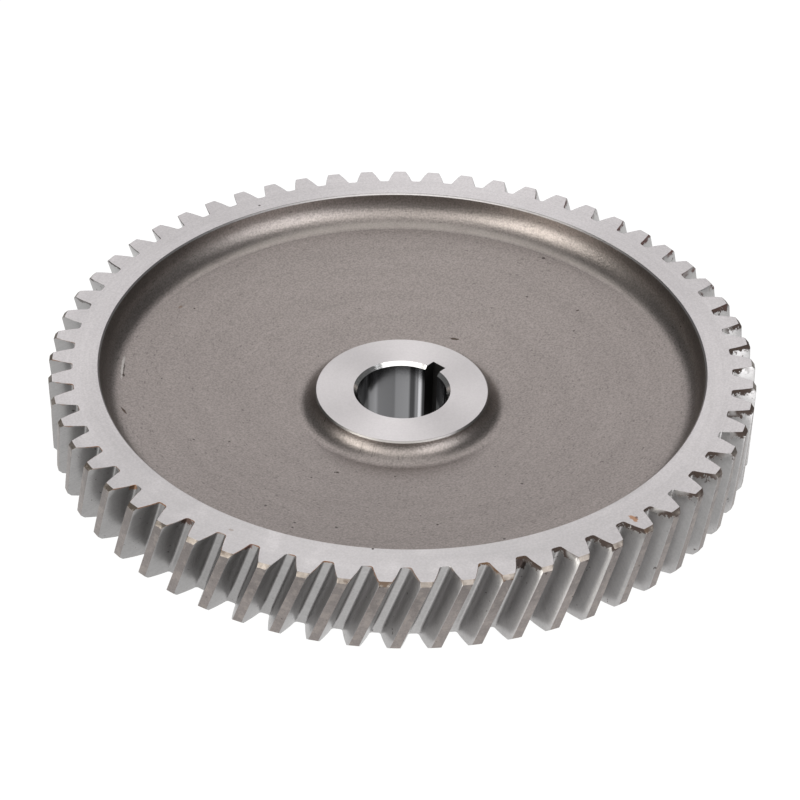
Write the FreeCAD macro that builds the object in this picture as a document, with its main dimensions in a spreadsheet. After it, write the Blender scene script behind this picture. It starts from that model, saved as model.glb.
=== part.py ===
"""Helical pinion gear with a dished web, an offset hub and a keyed bore.

The gear is one solid: a turned blank, helical tooth gaps made by one lofted cut and a polar
pattern, and a keyway broached through the bore. Sizes are in millimetres and degrees. The origin
is the centre of the hub's underside, +Z runs along the bore towards the open recess, and +X runs
through the keyway. Angles about the bore count counterclockwise from +X, seen from above.
"""

import FreeCAD, Part
import math
import os
import Sketcher
from types import SimpleNamespace

NODE = "pinion_gear"
SHEET = "Sizes"

# Driving dimensions

SIZES = (
    # Teeth
    ("tooth_count", 59),
    ("normal_module", 3.0),
    ("helix_angle", 19.5),
    ("pressure_angle", 20.0),
    ("addendum_factor", 1.0),
    ("dedendum_factor", 1.17),
    ("root_corner", 0.8),
    ("first_gap_angle", 2.57),
    # Rim
    ("face_width", 21.8),
    ("tip_chamfer", 1.0),
    ("rim_wall", 7.3),
    ("rim_chamfer", 0.4),
    ("rim_fillet", 7.8),
    # Web, a shallow cone that rises from the hub to the rim, over a flat back
    ("web_slope", 9.0),
    ("web_depth", 8.1),
    ("back_bevel", 1.5),
    # Hub
    ("hub_diameter", 48.5),
    ("hub_length", 22.0),
    ("hub_setback", 12.05),
    ("hub_chamfer", 0.4),
    ("hub_wall", 0.6),
    ("hub_fillet", 5.4),
    # Bore and keyway
    ("bore_diameter", 25.0),
    ("bore_chamfer", 1.0),
    ("key_width", 4.5),
    ("key_depth", 3.3),
)

# Lengths that follow from the driving dimensions, as expressions of the sheet

HALF_BORE = f"{SHEET}.bore_diameter / 2"
HALF_HUB = f"{SHEET}.hub_diameter / 2"
PITCH_RADIUS = f"{SHEET}.tooth_count * {SHEET}.normal_module / 2 / cos({SHEET}.helix_angle)"
TIP_RADIUS = f"{PITCH_RADIUS} + {SHEET}.addendum_factor * {SHEET}.normal_module"
ROOT_RADIUS = f"{PITCH_RADIUS} - {SHEET}.dedendum_factor * {SHEET}.normal_module"
RIM_BORE_RADIUS = f"{ROOT_RADIUS} - {SHEET}.rim_wall"
RIM_TOP = f"{SHEET}.hub_length + {SHEET}.hub_setback"
TURN_PER_MM = f"360 / pi * sin({SHEET}.helix_angle) / {SHEET}.tooth_count / {SHEET}.normal_module"

# A line's or an arc's first and last point and the origin, as a sketch's constraints name them

START, END = range(1, 3)
ORIGIN = ("x_axis", START)

# The gap cutter runs past both faces of the rim and outside the tips. It is lofted through
# this many sections along the helix, and each flank is a smooth curve through this many points.

GAP_OVERRUN = 1.5
GAP_HEADROOM = 1.0
GAP_SECTIONS = 2
FLANK_POINTS = 5

# A root corner's radius stays below this share of the one that would make a full round root

FULLEST_ROOT = 0.9


def make_sheet(doc):
    """Write each driving dimension in a row of its own, the name beside the number."""
    sheet = doc.addObject("Spreadsheet::Sheet", SHEET)
    for row, (name, value) in enumerate(SIZES, start=1):
        sheet.set(f"A{row}", name)
        sheet.set(f"B{row}", str(value))
        sheet.setAlias(f"B{row}", name)
    doc.recompute()
    return sheet


def read_sizes(sheet):
    """Read the sheet back, with the radii and levels that the outlines start from."""
    sizes = SimpleNamespace(**{name: float(getattr(sheet, name)) for name, _ in SIZES})
    helix = math.radians(sizes.helix_angle)
    sizes.pitch_radius = sizes.tooth_count * sizes.normal_module / 2 / math.cos(helix)
    sizes.tip_radius = sizes.pitch_radius + sizes.addendum_factor * sizes.normal_module
    sizes.root_radius = sizes.pitch_radius - sizes.dedendum_factor * sizes.normal_module
    sizes.rim_bore_radius = sizes.root_radius - sizes.rim_wall
    sizes.rim_top = sizes.hub_length + sizes.hub_setback
    sizes.rim_base = sizes.rim_top - sizes.face_width
    return sizes


def origin_part(body, role):
    """Return the body's own origin plane or axis that has the given role."""
    return next(part for part in body.Origin.OriginFeatures if part.Role == role)


def new_sketch(body, name, role):
    """Add a sketch that lies on one of the body's origin planes."""
    sketch = body.newObject("Sketcher::SketchObject", name)
    sketch.AttachmentSupport = [(origin_part(body, role), "")]
    sketch.MapMode = "FlatFace"
    return sketch


class Outline:
    """A chain of lines and arcs in a sketch, with dimensions driven by the sheet."""

    def __init__(self, sketch):
        self.sketch = sketch
        self.index = {"x_axis": -1}

    def line(self, name, start, end):
        """Add a line from one point to another."""
        piece = Part.LineSegment(FreeCAD.Vector(*start), FreeCAD.Vector(*end))
        self.index[name] = self.sketch.addGeometry(piece, False)

    def arc(self, name, centre, radius, first_angle, last_angle):
        """Add an arc that runs counterclockwise between two angles in degrees."""
        circle = Part.Circle(FreeCAD.Vector(*centre), FreeCAD.Vector(0, 0, 1), radius)
        piece = Part.ArcOfCircle(circle, math.radians(first_angle), math.radians(last_angle))
        self.index[name] = self.sketch.addGeometry(piece, False)

    def mark(self, name, place):
        """Add a construction point."""
        self.index[name] = self.sketch.addGeometry(Part.Point(FreeCAD.Vector(*place)), True)

    def rule(self, kind, *parts):
        """Add a constraint between pieces, given by name, and their ends."""
        numbers = [self.index[part] if isinstance(part, str) else part for part in parts]
        return self.sketch.addConstraint(Sketcher.Constraint(kind, *numbers))

    def size(self, label, expression, kind, *parts):
        """Add a dimension, with its present value last, and drive it by an expression."""
        number = self.rule(kind, *parts)
        self.sketch.renameConstraint(number, label)
        self.sketch.setExpression(f"Constraints.{label}", expression)


class BlankSection:
    """The turned blank's half section: its places, as radius and height, and its sketch."""

    def __init__(self, sizes):
        self.sizes = sizes
        self.slope = math.radians(sizes.web_slope)
        self.hub = sizes.hub_diameter / 2
        self.rim = sizes.rim_bore_radius
        rise = 1 / math.cos(self.slope)

        # The rim's fillet is tangent to its wall and the web, so its centre is a radius from each
        radius = sizes.rim_fillet
        centre = self.rim - radius
        self.rim_centre = (centre, self.web_top(centre) + radius * rise)

        # The hub's large fillet runs out in the hub's side, below a short straight wall
        radius = sizes.hub_fillet
        lift = self.web_top(self.hub) + radius * rise
        tangent_height = lift + radius * math.tan(self.slope)
        wall_foot = sizes.hub_length - sizes.hub_wall
        self.hub_wall_is_tangent = tangent_height < wall_foot
        self.hub_end = min(wall_foot, tangent_height)
        drop = lift - self.hub_end
        reach = (math.sqrt((radius * rise) ** 2 - drop**2) - drop * math.tan(self.slope)) / rise**2
        centre = self.hub + reach
        self.hub_centre = (centre, self.web_top(centre) + radius * rise)
        self.hub_turn = math.degrees(math.atan2(self.hub_end - self.hub_centre[1], -reach)) % 360

    def web_top(self, radius):
        """Height of the web's upper cone at a radius."""
        corner = self.sizes.rim_top - self.sizes.web_depth
        return corner - (self.rim - radius) * math.tan(self.slope)

    def foot(self, centre, radius):
        """Where a fillet meets the web."""
        return centre[0] + radius * math.sin(self.slope), centre[1] - radius * math.cos(self.slope)

    def draw(self, outline):
        """Add the section's lines and arcs."""
        sizes = self.sizes
        bore = sizes.bore_diameter / 2
        hub, rim, tip = self.hub, self.rim, sizes.tip_radius
        bevel_foot = (hub, sizes.rim_base - sizes.back_bevel)
        bevel_head = (hub + sizes.back_bevel, sizes.rim_base)
        outline.line("hub_base", (bore, 0), (hub, 0))
        outline.line("hub_skirt", (hub, 0), bevel_foot)
        outline.line("back_bevel", bevel_foot, bevel_head)
        outline.line("back", bevel_head, (tip, sizes.rim_base))
        outline.line("rim_outside", (tip, sizes.rim_base), (tip, sizes.rim_top))
        outline.line("rim_top", (tip, sizes.rim_top), (rim, sizes.rim_top))
        outline.line("rim_wall", (rim, sizes.rim_top), (rim, self.rim_centre[1]))
        outline.arc("rim_fillet", self.rim_centre, sizes.rim_fillet, sizes.web_slope - 90, 0)
        outer_foot = self.foot(self.rim_centre, sizes.rim_fillet)
        inner_foot = self.foot(self.hub_centre, sizes.hub_fillet)
        outline.line("web", outer_foot, inner_foot)
        last_angle = 270 + sizes.web_slope
        outline.arc("hub_fillet", self.hub_centre, sizes.hub_fillet, self.hub_turn, last_angle)
        outline.line("hub_wall", (hub, self.hub_end), (hub, sizes.hub_length))
        outline.line("hub_top", (hub, sizes.hub_length), (bore, sizes.hub_length))
        outline.line("bore", (bore, sizes.hub_length), (bore, 0))
        outline.mark("web_corner", (rim, self.web_top(rim)))

    def join(self, outline):
        """Close the chain, smoothly at the fillets, and set which lines are straight up or level."""
        for first, second in (
            ("hub_base", "hub_skirt"),
            ("hub_skirt", "back_bevel"),
            ("back_bevel", "back"),
            ("back", "rim_outside"),
            ("rim_outside", "rim_top"),
            ("rim_top", "rim_wall"),
            ("hub_wall", "hub_top"),
            ("hub_top", "bore"),
            ("bore", "hub_base"),
        ):
            outline.rule("Coincident", first, END, second, START)
        for line, line_end, arc, arc_end in (
            ("rim_wall", END, "rim_fillet", END),
            ("web", START, "rim_fillet", START),
            ("web", END, "hub_fillet", END),
        ):
            outline.rule("Tangent", line, line_end, arc, arc_end)
        for line in ("hub_base", "back", "rim_top", "hub_top"):
            outline.rule("Horizontal", line)
        for line in ("hub_skirt", "rim_outside", "rim_wall", "hub_wall", "bore"):
            outline.rule("Vertical", line)
        outline.rule("PointOnObject", "web_corner", START, "web")
        outline.rule("PointOnObject", "web_corner", START, "rim_wall")
        outline.rule("PointOnObject", "hub_base", START, "x_axis")
        outline.rule("PointOnObject", "hub_wall", START, "hub_skirt")
        smoothness = "Tangent" if self.hub_wall_is_tangent else "Coincident"
        outline.rule(smoothness, "hub_wall", START, "hub_fillet", START)

    def measure(self, outline):
        """Drive the section's dimensions by the sheet."""
        sizes = self.sizes
        across = ("DistanceX", *ORIGIN)
        upward = ("DistanceY", *ORIGIN)
        bore = sizes.bore_diameter / 2
        outline.size("bore_radius", HALF_BORE, *across, "bore", START, bore)
        outline.size("hub_radius", HALF_HUB, *across, "hub_base", END, self.hub)
        outline.size("rim_bore_radius", RIM_BORE_RADIUS, *across, "rim_wall", START, self.rim)
        outline.size("tip_radius", TIP_RADIUS, *across, "rim_outside", START, sizes.tip_radius)
        outline.size("hub_length", f"{SHEET}.hub_length", *upward, "bore", START, sizes.hub_length)
        outline.size("rim_top", RIM_TOP, *upward, "rim_top", START, sizes.rim_top)
        for label, kind, parts in (
            ("face_width", "DistanceY", ("rim_outside", START, "rim_outside", END)),
            ("web_depth", "DistanceY", ("web_corner", START, "rim_wall", START)),
            ("rim_fillet", "Radius", ("rim_fillet",)),
            ("hub_fillet", "Radius", ("hub_fillet",)),
        ):
            outline.size(label, f"{SHEET}.{label}", kind, *parts, getattr(sizes, label))
        for kind in ("DistanceX", "DistanceY"):
            ends = ("back_bevel", START, "back_bevel", END, sizes.back_bevel)
            outline.size(f"bevel_{kind[-1].lower()}", f"{SHEET}.back_bevel", kind, *ends)
        slope = f"{SHEET}.web_slope * 1 deg"
        outline.size("web_slope", slope, "Angle", "back", START, "web", END, self.slope)
        if not self.hub_wall_is_tangent:
            wall = ("hub_wall", START, "hub_wall", END, sizes.hub_wall)
            outline.size("hub_wall", f"{SHEET}.hub_wall", "DistanceY", *wall)


def turn_blank(body, sizes):
    """Turn the blank from its half section."""
    sketch = new_sketch(body, "blank_section", "XZ_Plane")
    outline = Outline(sketch)
    section = BlankSection(sizes)
    section.draw(outline)
    section.join(outline)
    section.measure(outline)
    blank = body.newObject("PartDesign::Revolution", "blank")
    blank.Profile = sketch
    blank.ReferenceAxis = (sketch, ["V_Axis"])
    blank.Angle = 360
    return blank


def round_edges(shape, radius, heights):
    """Name the edges that are full circles about the bore with a radius, at given heights."""
    names = []
    for number, edge in enumerate(shape.Edges, start=1):
        if not isinstance(edge.Curve, Part.Circle) or not edge.isClosed():
            continue
        height = edge.Curve.Center.z
        near = any(abs(height - wanted) < 1e-3 for wanted in heights)
        if near and abs(edge.Curve.Radius - radius) < 1e-3:
            names.append(f"Edge{number}")
    return names


def break_edges(body, base, sizes):
    """Chamfer the corners of the tips, the recess, the hub and the bore."""
    rim_faces = (sizes.rim_base, sizes.rim_top)
    hub_faces = (0, sizes.hub_length)
    for name, radius, heights in (
        ("tip_chamfer", sizes.tip_radius, rim_faces),
        ("rim_chamfer", sizes.rim_bore_radius, rim_faces[1:]),
        ("hub_chamfer", sizes.hub_diameter / 2, hub_faces),
        ("bore_chamfer", sizes.bore_diameter / 2, hub_faces),
    ):
        body.Document.recompute()
        chamfer = body.newObject("PartDesign::Chamfer", name)
        chamfer.Base = (base, round_edges(base.Shape, radius, heights))
        chamfer.setExpression("Size", f"{SHEET}.{name}")
        base = chamfer


def broach_keyway(body, sizes):
    """Cut the keyway through the bore, from its axis outwards along +X."""
    sketch = new_sketch(body, "key_section", "XY_Plane")
    outline = Outline(sketch)
    reach = sizes.bore_diameter / 2 + sizes.key_depth
    half = sizes.key_width / 2
    corners = ((0, -half), (reach, -half), (reach, half), (0, half))
    sides = ("near_side", "floor", "far_side", "axis_side")
    for name, first, second in zip(sides, corners, corners[1:] + corners[:1]):
        outline.line(name, first, second)
    for first, second in zip(sides, sides[1:] + sides[:1]):
        outline.rule("Coincident", first, END, second, START)
    outline.rule("Horizontal", "near_side")
    outline.rule("Horizontal", "far_side")
    outline.rule("Vertical", "floor")
    outline.rule("Vertical", "axis_side")
    outline.rule("Symmetric", "axis_side", START, "axis_side", END, *ORIGIN)
    outline.size("width", f"{SHEET}.key_width", "DistanceY", "floor", START, "floor", END, 2 * half)
    reach_rule = f"{HALF_BORE} + {SHEET}.key_depth"
    outline.size("reach", reach_rule, "DistanceX", *ORIGIN, "floor", START, reach)
    keyway = body.newObject("PartDesign::Pocket", "keyway")
    keyway.Profile = sketch
    keyway.Midplane = True
    keyway.Type = "ThroughAll"


class ToothGap:
    """One gap between teeth, in the plane of rotation, opening along +X.

    Each flank is an involute of the base circle. A root corner is broken flat between the points
    where a circle touches the root and the flank: the circle's centre lies on the same involute
    moved off the flank by its radius.
    """

    def __init__(self, sizes):
        self.sizes = sizes
        normal_pressure = math.radians(sizes.pressure_angle)
        pressure = math.atan(math.tan(normal_pressure) / math.cos(math.radians(sizes.helix_angle)))
        self.half_pitch = math.pi / sizes.tooth_count
        self.base_radius = sizes.pitch_radius * math.cos(pressure)
        self.half_tooth = self.half_pitch / 2 + math.tan(pressure) - pressure
        self.corner = self.fitting_corner()

    def flank_angle(self, radius, offset=0.0):
        """Angle from the gap's middle to the flank, or to the involute offset into the gap."""
        pressure = math.acos(self.base_radius / radius)
        half_tooth = self.half_tooth - (math.tan(pressure) - pressure) + offset / self.base_radius
        return self.half_pitch - half_tooth

    def fitting_corner(self):
        """The root corner's radius, or the largest that the root has room for."""
        root = self.sizes.root_radius
        room = self.flank_angle(max(root, self.base_radius)) * root
        return min(self.sizes.root_corner, FULLEST_ROOT * room)

    def point(self, radius, angle):
        """A point in the plane of rotation."""
        return FreeCAD.Vector(radius * math.cos(angle), radius * math.sin(angle), 0)

    def mirrored(self, points):
        """The same points on the gap's other side."""
        return [FreeCAD.Vector(place.x, -place.y, 0) for place in points]

    def curves(self):
        """The gap's closed outline, counterclockwise, as curves."""
        root = self.sizes.root_radius
        centre_radius = root + self.corner
        land_angle = self.flank_angle(centre_radius, self.corner)
        span = math.sqrt(centre_radius**2 - self.base_radius**2) - self.corner
        start = math.hypot(self.base_radius, span)
        finish = self.sizes.tip_radius + GAP_HEADROOM
        step = (finish - start) / (FLANK_POINTS - 1)
        radii = [start + step * number for number in range(FLANK_POINTS)]
        flank = [self.point(radius, self.flank_angle(radius)) for radius in radii]
        other_flank = self.mirrored(flank[::-1])
        land = [self.point(root, share * land_angle) for share in (-1, 0, 1)]
        return [
            Part.Arc(*land),
            Part.LineSegment(land[-1], flank[0]),
            self.smooth(flank),
            Part.LineSegment(flank[-1], other_flank[0]),
            self.smooth(other_flank),
            Part.LineSegment(other_flank[-1], land[0]),
        ]

    def smooth(self, points):
        """A smooth curve through points."""
        curve = Part.BSplineCurve()
        curve.interpolate(points)
        return curve


def cut_gaps(body, sizes):
    """Loft one gap along its helix and repeat it round the rim."""
    gap = ToothGap(sizes)
    sketches = []
    for number in range(GAP_SECTIONS):
        share = number / (GAP_SECTIONS - 1)
        drop = f"({share} * ({SHEET}.face_width + {2 * GAP_OVERRUN}) - {GAP_OVERRUN})"
        sketch = new_sketch(body, f"gap_section_{number + 1}", "XY_Plane")
        for curve in gap.curves():
            sketch.addGeometry(curve, False)
        sketch.AttachmentOffset = FreeCAD.Placement(
            FreeCAD.Vector(0, 0, 0), FreeCAD.Rotation(FreeCAD.Vector(0, 0, 1), 1)
        )
        sketch.setExpression("AttachmentOffset.Base.z", f"{RIM_TOP} - {drop}")
        turn = f"{SHEET}.first_gap_angle - {drop} * {TURN_PER_MM}"
        sketch.setExpression("AttachmentOffset.Rotation.Angle", turn)
        sketches.append(sketch)
    cut = body.newObject("PartDesign::SubtractiveLoft", "first_gap")
    cut.Profile = sketches[0]
    cut.Sections = sketches[1:]
    body.Document.recompute()
    pattern = body.newObject("PartDesign::PolarPattern", "gaps")
    pattern.Originals = [cut]
    pattern.Axis = (origin_part(body, "Z_Axis"), [""])
    pattern.Angle = 360
    pattern.setExpression("Occurrences", f"{SHEET}.tooth_count")
    body.Tip = pattern


def check(doc, body):
    """Stop if any object failed or the solid isn't whole."""
    for item in doc.Objects:
        if {"Invalid", "Error"} & set(item.State):
            raise RuntimeError(f"{item.Name} failed: {item.State}")
    if body.Shape.isNull() or not body.Shape.isValid() or len(body.Shape.Solids) != 1:
        raise RuntimeError(f"{body.Label} isn't one valid solid")


def main():
    """Build the gear and write it."""
    doc = FreeCAD.newDocument(NODE)
    sizes = read_sizes(make_sheet(doc))
    body = doc.addObject("PartDesign::Body", "Gear")
    body.Label = NODE
    blank = turn_blank(body, sizes)
    break_edges(body, blank, sizes)
    broach_keyway(body, sizes)
    cut_gaps(body, sizes)
    body.Placement = FreeCAD.Placement()
    doc.recompute()
    check(doc, body)
    os.makedirs("parts", exist_ok=True)
    body.Shape.exportStep(f"parts/{body.Label}.step")
    print(f"{body.Label}: {body.Shape.Volume:.1f} cubic mm, {len(body.Shape.Faces)} faces")


main()
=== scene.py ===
"""Visual model of a machined helical pinion gear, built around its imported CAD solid.

The gear replaces the CAD node with a finer mesh of the same sizes: true involute flanks, rounded
tooth roots and broken edges. Lengths are in metres. Angles of the gear's shape are in radians, and
those of marks, sides and lamps in degrees. The frame is the CAD one: +Z along the bore, +X through
the keyway.
"""

import logging
import math
from dataclasses import dataclass, field
from enum import Enum

import bmesh
import bpy
from mathutils import Matrix, Vector


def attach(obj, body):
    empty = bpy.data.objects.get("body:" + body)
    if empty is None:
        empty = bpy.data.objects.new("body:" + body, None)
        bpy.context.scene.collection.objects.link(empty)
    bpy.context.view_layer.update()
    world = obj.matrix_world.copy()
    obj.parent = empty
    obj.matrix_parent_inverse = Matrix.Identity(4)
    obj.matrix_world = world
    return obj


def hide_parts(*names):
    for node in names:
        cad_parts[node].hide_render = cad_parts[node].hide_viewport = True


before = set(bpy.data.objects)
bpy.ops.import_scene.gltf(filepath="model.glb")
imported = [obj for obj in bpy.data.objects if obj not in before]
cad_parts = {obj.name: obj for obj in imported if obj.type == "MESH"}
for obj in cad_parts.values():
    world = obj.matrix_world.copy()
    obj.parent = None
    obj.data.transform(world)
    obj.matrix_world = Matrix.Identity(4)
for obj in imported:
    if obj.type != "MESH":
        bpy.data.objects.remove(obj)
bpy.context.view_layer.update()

MM = 0.001
NODE = "pinion_gear"
BODY = "root"
FLAT = 0.9999  # from this share of its normal on, a face counts as level
SMOOTH_ANGLE = math.radians(40)
MERGE = 1e-6  # distance at which doubles within one form are merged
SEAM = 2e-6  # distance at which the seam between both forms is closed

log = logging.getLogger("gear")
Socket = bpy.types.NodeSocket
Value = Socket | float | tuple


# Sizes


@dataclass(frozen=True)
class GearSizes:
    """The gear's sizes, as the CAD solid has them."""

    tooth_count: int = 59
    module: float = 3.0 * MM
    helix: float = math.radians(19.5)
    pressure: float = math.radians(20.0)
    dedendum: float = 1.17
    first_gap: float = math.radians(2.57)
    rim_top: float = 34.05 * MM
    rim_base: float = 12.25 * MM
    tip_chamfer: float = 1.0 * MM
    rim_wall: float = 7.3 * MM
    rim_chamfer: float = 0.4 * MM
    rim_fillet: float = 7.8 * MM
    web_slope: float = math.radians(9.0)
    web_depth: float = 8.1 * MM
    back_bevel: float = 1.5 * MM
    hub_radius: float = 24.25 * MM
    hub_length: float = 22.0 * MM
    hub_chamfer: float = 0.4 * MM
    hub_wall: float = 0.6 * MM
    hub_fillet: float = 5.4 * MM
    bore_radius: float = 12.5 * MM
    bore_chamfer: float = 1.0 * MM
    key_width: float = 4.5 * MM
    key_reach: float = 15.8 * MM
    box_gap: float = 0.005 * MM

    @property
    def pitch_radius(self) -> float:
        """Radius of the pitch cylinder."""
        return self.tooth_count * self.module / 2 / math.cos(self.helix)

    @property
    def tip_radius(self) -> float:
        """Radius of the tips, a hair inside the CAD box."""
        return self.pitch_radius + self.module - self.box_gap

    @property
    def root_radius(self) -> float:
        """Radius of the roots."""
        return self.pitch_radius - self.dedendum * self.module

    @property
    def recess_radius(self) -> float:
        """Radius of the recess's wall."""
        return self.root_radius - self.rim_wall

    @property
    def chamfer_radius(self) -> float:
        """Radius at which the tips' chamfer starts on the end faces."""
        return self.tip_radius - self.tip_chamfer

    @property
    def pitch_angle(self) -> float:
        """Angle from one tooth to the next."""
        return 2 * math.pi / self.tooth_count

    def turn(self, height: float) -> float:
        """Angle of the first gap's middle at a height."""
        return self.first_gap - (self.rim_top - height) * math.tan(self.helix) / self.pitch_radius

    def web_top(self, radius: float) -> float:
        """Height of the web's upper cone at a radius."""
        corner = self.rim_top - self.web_depth
        return corner - (self.recess_radius - radius) * math.tan(self.web_slope)


# Modelling helpers


def start_clean() -> None:
    """Leave edit mode and select nothing."""
    if bpy.context.object and bpy.context.object.mode != "OBJECT":
        object_mode()
    bpy.ops.object.select_all(action="DESELECT")


def edit(select: str = "SELECT") -> None:
    """Enter edit mode on the active object.

    Args:
        select: SELECT or DESELECT, for all of its mesh.
    """
    bpy.ops.object.mode_set(mode="EDIT")
    bpy.ops.mesh.select_mode(type="VERT")
    bpy.ops.mesh.select_all(action=select)


def object_mode() -> None:
    """Leave edit mode."""
    bpy.ops.object.mode_set(mode="OBJECT")


def apply_placing() -> None:
    """Apply the active object's placing to its mesh."""
    bpy.ops.object.transform_apply(location=True, rotation=True, scale=True)


def spin(steps: int, angle: float, copies: bool = False) -> None:
    """Turn all of the mesh in edit mode round the bore, merge its doubles and leave edit mode.

    Args:
        steps: number of steps.
        angle: the whole turn.
        copies: whether the mesh is repeated, and not swept.
    """
    bpy.ops.mesh.spin(steps=steps, dupli=copies, angle=angle, center=(0, 0, 0), axis=(0, 0, 1))
    bpy.ops.mesh.select_all(action="SELECT")
    bpy.ops.mesh.remove_doubles(threshold=MERGE)
    object_mode()


def direction(angle: float) -> Vector:
    """Unit vector in the plane of rotation."""
    return Vector((math.cos(angle), math.sin(angle)))


def angle_of(point: Vector) -> float:
    """Angle of a point or a direction in the plane of rotation."""
    return math.atan2(point.y, point.x)


def steps_between(first: float, last: float, steps: int) -> list:
    """Values after the first one up to the last one, in equal steps."""
    return [first + (last - first) * k / steps for k in range(1, steps + 1)]


def arc_points(centre: tuple, radius: float, first: float, last: float, steps: int) -> list:
    """Points along an arc of the section.

    Args:
        centre: radius and height of the arc's centre.
        radius: the arc's own radius.
        first: angle of its first point, in degrees.
        last: angle of its last point, in degrees.
        steps: number of segments.

    Returns:
        Pairs of radius and height.
    """
    angles = [math.radians(a) for a in (first, *steps_between(first, last, steps))]
    return [(centre[0] + radius * math.cos(a), centre[1] + radius * math.sin(a)) for a in angles]


# Geometry of the gear


@dataclass
class ToothProfile:
    """Outline of one gap and the halves of its two teeth, in the plane of rotation."""

    sizes: GearSizes
    fillet: float = 0.8 * MM
    tip_round: float = 0.15 * MM
    land_steps: int = 2
    fillet_steps: int = 5
    flank_steps: int = 6
    cone_steps: int = 2
    round_steps: int = 3
    tip_steps: int = 3

    def __post_init__(self) -> None:
        """Work out the involute's base circle and the tooth's half angle on it."""
        sizes = self.sizes
        pressure = math.atan(math.tan(sizes.pressure) / math.cos(sizes.helix))
        self.base = sizes.pitch_radius * math.cos(pressure)
        self.half_pitch = sizes.pitch_angle / 2
        self.half_tooth = self.half_pitch / 2 + math.tan(pressure) - pressure

    def flank_angle(self, radius: float, offset: float = 0.0) -> float:
        """Angle from the gap's middle to the flank.

        Args:
            radius: distance from the axis.
            offset: distance by which the involute is moved into the gap, negative for the tooth.

        Returns:
            The angle.
        """
        pressure = math.acos(self.base / radius)
        involute = math.tan(pressure) - pressure
        return self.half_pitch - self.half_tooth + involute - offset / self.base

    def corner(
        self, centre_radius: float, radius: float, offset: float, last: float, steps: int
    ) -> list:
        """Points of a rounded corner, from the flank to the circle that it joins.

        Args:
            centre_radius: distance of the corner's centre from the axis.
            radius: the corner's own radius.
            offset: how far the centre lies from the flank, positive in the gap.
            last: distance from the axis at which the corner ends.
            steps: number of segments.

        Returns:
            Points from the flank to the end.
        """
        centre = direction(self.flank_angle(centre_radius, offset)) * centre_radius
        span = math.sqrt(centre_radius**2 - self.base**2) - offset
        touch_radius = math.hypot(self.base, span)
        touch = direction(self.flank_angle(touch_radius)) * touch_radius
        end = centre.normalized() * last
        first_turn = angle_of(touch - centre)
        swing = angle_of(end - centre) - first_turn
        swing = (swing + math.pi) % (2 * math.pi) - math.pi
        turns = (first_turn, *steps_between(first_turn, first_turn + swing, steps))
        return [centre + direction(turn) * radius for turn in turns]

    def half(self) -> list:
        """Draw half of a gap and half of a tooth.

        Returns:
            Points from the gap's middle to the tooth's middle.
        """
        root, tip = self.sizes.root_radius, self.sizes.tip_radius
        fillet, tip_round = self.fillet, self.tip_round
        low = self.corner(root + fillet, fillet, fillet, root, self.fillet_steps)
        high = self.corner(tip - tip_round, tip_round, -tip_round, tip, self.round_steps)
        land_end = angle_of(low[-1])
        land = (0.0, *steps_between(0.0, land_end, self.land_steps)[:-1])
        points = [direction(angle) * root for angle in land] + low[::-1]
        middle, end = self.sizes.chamfer_radius, high[0].length
        radii = steps_between(low[0].length, middle, self.flank_steps)
        radii += steps_between(middle, end, self.cone_steps)[:-1]
        points += [direction(self.flank_angle(radius)) * radius for radius in radii]
        tips = steps_between(angle_of(high[-1]), self.half_pitch, self.tip_steps)
        return points + high + [direction(angle) * tip for angle in tips]

    def outline(self) -> list:
        """Points across the whole gap, in order of their angle."""
        half = self.half()
        return [Vector((p.x, -p.y)) for p in half[:0:-1]] + half

    def normals(self, points: list) -> list:
        """Work out the outline's normals.

        Args:
            points: the outline.

        Returns:
            Unit normals that point out of the steel.
        """
        inner = []
        for before, after in zip(points, points[2:]):
            along = (after - before).normalized()
            inner.append(Vector((along.y, -along.x)))
        return [points[0].normalized(), *inner, points[-1].normalized()]


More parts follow.
